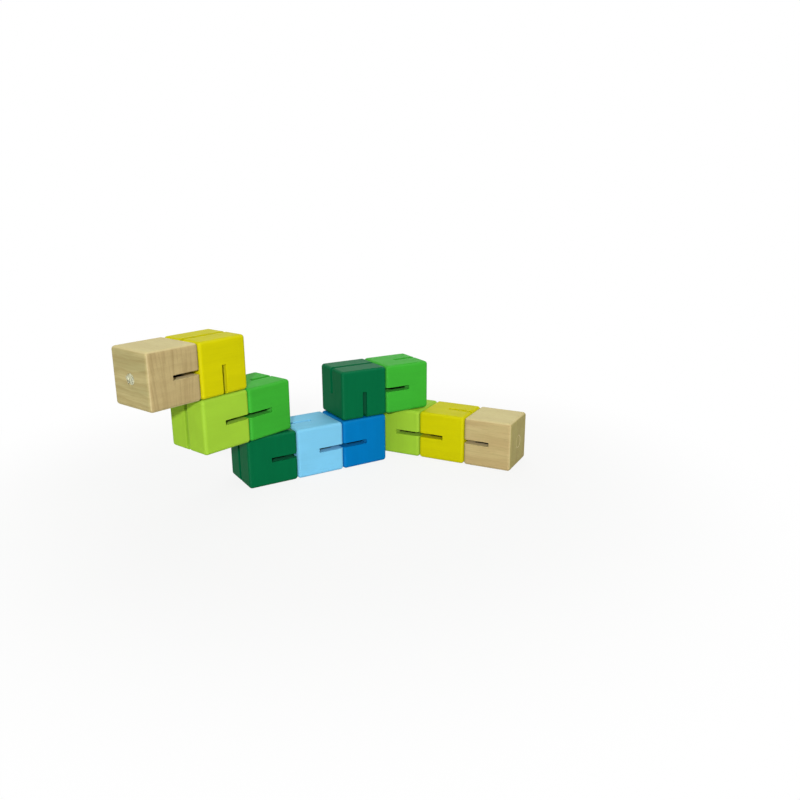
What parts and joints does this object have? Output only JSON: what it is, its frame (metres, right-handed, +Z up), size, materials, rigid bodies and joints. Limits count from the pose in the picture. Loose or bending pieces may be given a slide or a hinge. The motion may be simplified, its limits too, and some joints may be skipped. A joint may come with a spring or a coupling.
{
  "type": "folding wooden cube puzzle",
  "caption": "Folding chain of wooden cubes on one elastic cord that runs through crossing saw kerfs, painted in a row of colours with natural ends, set out in a staggered line.",
  "frame": {"origin": "middle of the chain's box in plan, at the surface that the lowest cubes stand on", "axes": "+X along the row of the three middle cubes, from the end with the open knot to the end with the plug; +Y away from the side that shows most kerfs; +Z up"},
  "size_m": [0.1936, 0.0764, 0.0754],
  "materials": {
    "natural_beech": "clear lacquered beech",
    "yellow_paint": "satin paint over beech",
    "lime_paint": "satin paint over beech",
    "green_paint": "satin paint over beech",
    "dark_green_paint": "satin paint over beech",
    "light_blue_paint": "satin paint over beech",
    "blue_paint": "satin paint over beech",
    "elastic": "white braided cover over a rubber core"
  },
  "bodies": {
    "cube_01": {"cube_01_natural": "natural_beech", "elastic_01": "elastic", "knot_left": "elastic"},
    "cube_02": {"cube_02_yellow": "yellow_paint", "elastic_02": "elastic"},
    "cube_03": {"cube_03_lime": "lime_paint", "elastic_03": "elastic"},
    "cube_04": {"cube_04_green": "green_paint", "elastic_04": "elastic"},
    "cube_05": {"cube_05_dark_green": "dark_green_paint", "elastic_05": "elastic"},
    "cube_06": {"cube_06_light_blue": "light_blue_paint", "elastic_06": "elastic"},
    "cube_07": {"cube_07_blue": "blue_paint", "elastic_07": "elastic"},
    "cube_08": {"cube_08_dark_green": "dark_green_paint", "elastic_08": "elastic"},
    "cube_09": {"cube_09_green": "green_paint", "elastic_09": "elastic"},
    "cube_10": {"cube_10_lime": "lime_paint", "elastic_10": "elastic"},
    "cube_11": {"cube_11_yellow": "yellow_paint", "elastic_11": "elastic"},
    "cube_12": {"cube_12_natural": "natural_beech", "elastic_12": "elastic", "knot_right": "elastic", "plug_right": "natural_beech"},
    "link_03_04": {"elastic_turn_04": "elastic"},
    "link_06_07": {"elastic_turn_06": "elastic"},
    "link_10_11": {"elastic_turn_11": "elastic"},
    "swing_03": {"elastic_swing_03": "elastic"},
    "swing_04": {"elastic_swing_04": "elastic"},
    "swing_06": {"elastic_swing_06": "elastic"},
    "swing_07": {"elastic_swing_07": "elastic"},
    "swing_10": {"elastic_swing_10": "elastic"},
    "swing_11": {"elastic_swing_11": "elastic"}
  },
  "joints": [
    {"name": "twist_05_06", "type": "hinge", "parent": "cube_06", "child": "cube_05", "pos_m": [-0.01679, 0.02246, 0.0125], "axis": [1, 0, 0], "continuous": true},
    {"name": "twist_04_05", "type": "hinge", "parent": "cube_05", "child": "cube_04", "pos_m": [-0.02939, 0.02246, 0.0251], "axis": [0, 0, 1], "range_deg": [-150, 90]},
    {"name": "twist_03_04", "type": "hinge", "parent": "cube_04", "child": "link_03_04", "pos_m": [-0.04561, 0.01703, 0.0377], "axis": [0.9483, 0.3173, 0], "continuous": true},
    {"name": "fold_03_04", "type": "hinge", "parent": "link_03_04", "child": "cube_03", "pos_m": [-0.04161, 0.00508, 0.0377], "axis": [0, 0, 1], "range_deg": [0, 165]},
    {"name": "twist_02_03", "type": "hinge", "parent": "cube_03", "child": "cube_02", "pos_m": [-0.05756, 0.01304, 0.0503], "axis": [0, 0, 1], "continuous": true},
    {"name": "twist_01_02", "type": "hinge", "parent": "cube_02", "child": "cube_01", "pos_m": [-0.0694, 0.00873, 0.0629], "axis": [0.9397, 0.342, 0], "continuous": true},
    {"name": "twist_06_07", "type": "hinge", "parent": "cube_06", "child": "link_06_07", "pos_m": [0.00841, 0.02246, 0.0125], "axis": [1, 0, 0], "continuous": true},
    {"name": "fold_06_07", "type": "hinge", "parent": "link_06_07", "child": "cube_07", "pos_m": [0.00841, 0.03506, 0.0125], "axis": [0, 0, 1], "range_deg": [0, 160]},
    {"name": "twist_07_08", "type": "hinge", "parent": "cube_07", "child": "cube_08", "pos_m": [0.02151, 0.02246, 0.0251], "axis": [0, 0, 1], "range_deg": [-30, 20]},
    {"name": "twist_08_09", "type": "hinge", "parent": "cube_08", "child": "cube_09", "pos_m": [0.0341, 0.02213, 0.0377], "axis": [0.9997, -0.0262, 0], "continuous": true},
    {"name": "twist_09_10", "type": "hinge", "parent": "cube_09", "child": "cube_10", "pos_m": [0.05429, 0.0216, 0.0251], "axis": [0, 0, -1], "range_deg": [-165, 50]},
    {"name": "fold_10_11", "type": "hinge", "parent": "cube_10", "child": "link_10_11", "pos_m": [0.07158, 0.01729, 0.0125], "axis": [0, 0, 1], "range_deg": [0, 180]},
    {"name": "twist_10_11", "type": "hinge", "parent": "link_10_11", "child": "cube_11", "pos_m": [0.06078, 0.0108, 0.0125], "axis": [0.515, -0.8572, 0], "continuous": true},
    {"name": "twist_11_12", "type": "hinge", "parent": "cube_11", "child": "cube_12", "pos_m": [0.07376, -0.0108, 0.0125], "axis": [0.515, -0.8572, 0], "continuous": true},
    {"name": "swing_04_hinge", "type": "hinge", "parent": "link_03_04", "child": "swing_04", "pos_m": [-0.03366, 0.02103, 0.0377], "axis": [0, 0, 1], "range_deg": [0, 82.5]},
    {"name": "swing_03_hinge", "type": "hinge", "parent": "cube_03", "child": "swing_03", "pos_m": [-0.05756, 0.01304, 0.0377], "axis": [0, 0, 1], "range_deg": [-82.5, 0]},
    {"name": "swing_06_hinge", "type": "hinge", "parent": "link_06_07", "child": "swing_06", "pos_m": [-0.00419, 0.02246, 0.0125], "axis": [0, 0, 1], "range_deg": [0, 80]},
    {"name": "swing_07_hinge", "type": "hinge", "parent": "cube_07", "child": "swing_07", "pos_m": [0.02101, 0.02246, 0.0125], "axis": [0, 0, 1], "range_deg": [-80, 0]},
    {"name": "swing_10_hinge", "type": "hinge", "parent": "cube_10", "child": "swing_10", "pos_m": [0.05429, 0.0216, 0.0125], "axis": [0, 0, 1], "range_deg": [0, 90]},
    {"name": "swing_11_hinge", "type": "hinge", "parent": "link_10_11", "child": "swing_11", "pos_m": [0.06727, 0, 0.0125], "axis": [0, 0, 1], "range_deg": [-90, 0]}
  ],
  "couplings": [
    {"joint": "swing_04_hinge", "follows": "fold_03_04", "ratio": 0.5},
    {"joint": "swing_03_hinge", "follows": "fold_03_04", "ratio": -0.5},
    {"joint": "swing_06_hinge", "follows": "fold_06_07", "ratio": 0.5},
    {"joint": "swing_07_hinge", "follows": "fold_06_07", "ratio": -0.5},
    {"joint": "swing_10_hinge", "follows": "fold_10_11", "ratio": 0.5},
    {"joint": "swing_11_hinge", "follows": "fold_10_11", "ratio": -0.5}
  ]
}
